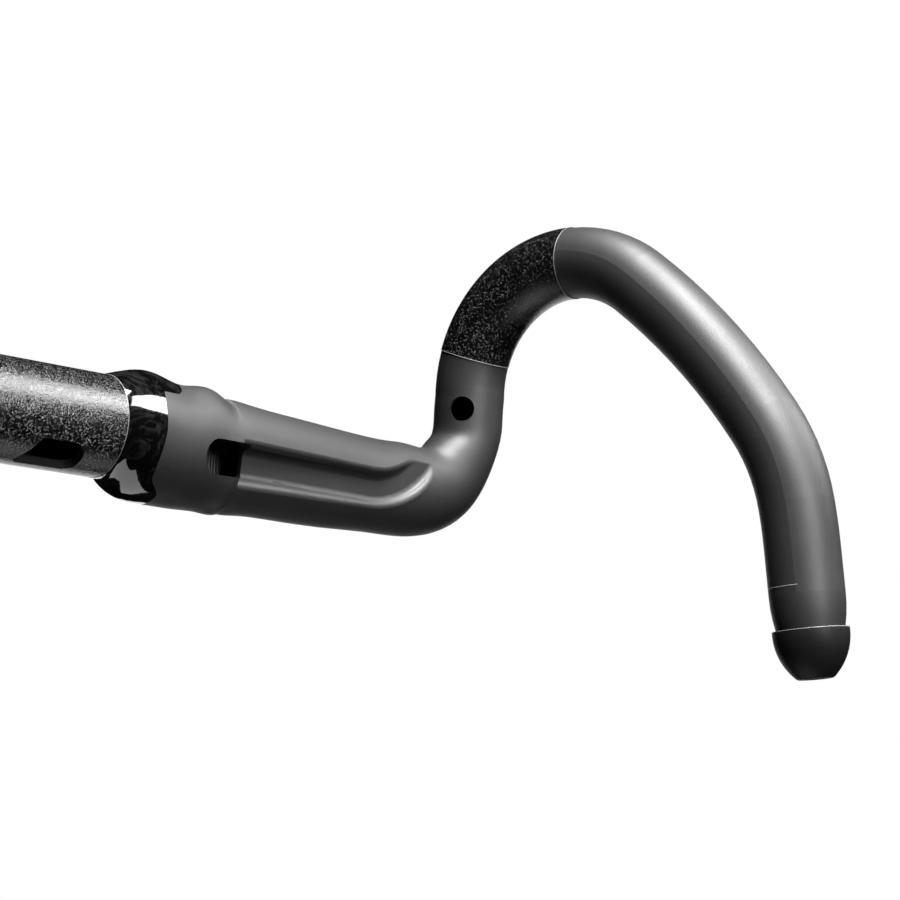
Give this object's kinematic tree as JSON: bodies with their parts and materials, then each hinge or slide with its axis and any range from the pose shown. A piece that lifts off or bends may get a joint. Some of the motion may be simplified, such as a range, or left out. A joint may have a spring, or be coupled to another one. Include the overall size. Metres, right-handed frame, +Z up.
{
  "type": "drop handlebar",
  "caption": "Hollow carbon drop bar with shaped tops, hose grooves below, compact hooks and screw-expander end plugs.",
  "frame": {"origin": "centre of the stem clamp zone, on its axis", "axes": "+X to the rider's left along the clamp's axis, -Y forward, +Z up"},
  "size_m": [0.4886, 0.1445, 0.1594],
  "materials": {
    "carbon_shell": "satin clear coat over carbon fibre; glossy on the collars",
    "grit_film": "coarse grit",
    "inner_sleeve": "bare moulded carbon",
    "plug_plastic": "fine satin",
    "steel": "black oxide",
    "expander_rubber": "matt",
    "wedge_nylon": "moulded"
  },
  "bodies": {
    "root": {"centre_section": "carbon_shell", "clamp_grip": "grit_film", "drop_section_left": "carbon_shell", "drop_section_right": "carbon_shell", "bond_sleeve_left": "inner_sleeve", "bond_sleeve_right": "inner_sleeve", "lever_grip_left": "grit_film", "lever_grip_right": "grit_film"},
    "plug_left": {"plug_expander_left": "expander_rubber", "plug_washer_left": "steel"},
    "cap_left": {"plug_cap_left": "plug_plastic", "plug_screw_left": "steel"},
    "wedge_left": {"plug_wedge_left": "wedge_nylon", "plug_nut_left": "steel"},
    "plug_right": {"plug_expander_right": "expander_rubber", "plug_washer_right": "steel"},
    "cap_right": {"plug_cap_right": "plug_plastic", "plug_screw_right": "steel"},
    "wedge_right": {"plug_wedge_right": "wedge_nylon", "plug_nut_right": "steel"}
  },
  "joints": [
    {"name": "plug_pull_left", "type": "slide", "parent": "root", "child": "plug_left", "axis": [0.0934, 0.9804, -0.1732], "range_m": [0, 0.032]},
    {"name": "cap_turn_left", "type": "hinge", "parent": "plug_left", "child": "cap_left", "pos_m": [0.23206, 0.03752, -0.12989], "axis": [0.0934, 0.9804, -0.1732], "range_deg": [0, 2160]},
    {"name": "wedge_release_left", "type": "slide", "parent": "plug_left", "child": "wedge_left", "axis": [-0.0934, -0.9804, 0.1732], "range_m": [0, 0.0042]},
    {"name": "plug_pull_right", "type": "slide", "parent": "root", "child": "plug_right", "axis": [-0.0934, 0.9804, -0.1732], "range_m": [0, 0.032]},
    {"name": "cap_turn_right", "type": "hinge", "parent": "plug_right", "child": "cap_right", "pos_m": [-0.23206, 0.03752, -0.12989], "axis": [-0.0934, 0.9804, -0.1732], "range_deg": [0, 2160]},
    {"name": "wedge_release_right", "type": "slide", "parent": "plug_right", "child": "wedge_right", "axis": [0.0934, -0.9804, 0.1732], "range_m": [0, 0.0042]}
  ],
  "couplings": [
    {"joint": "wedge_release_left", "follows": "cap_turn_left", "m_per_rad": 0.00011141},
    {"joint": "wedge_release_right", "follows": "cap_turn_right", "m_per_rad": 0.00011141}
  ]
}
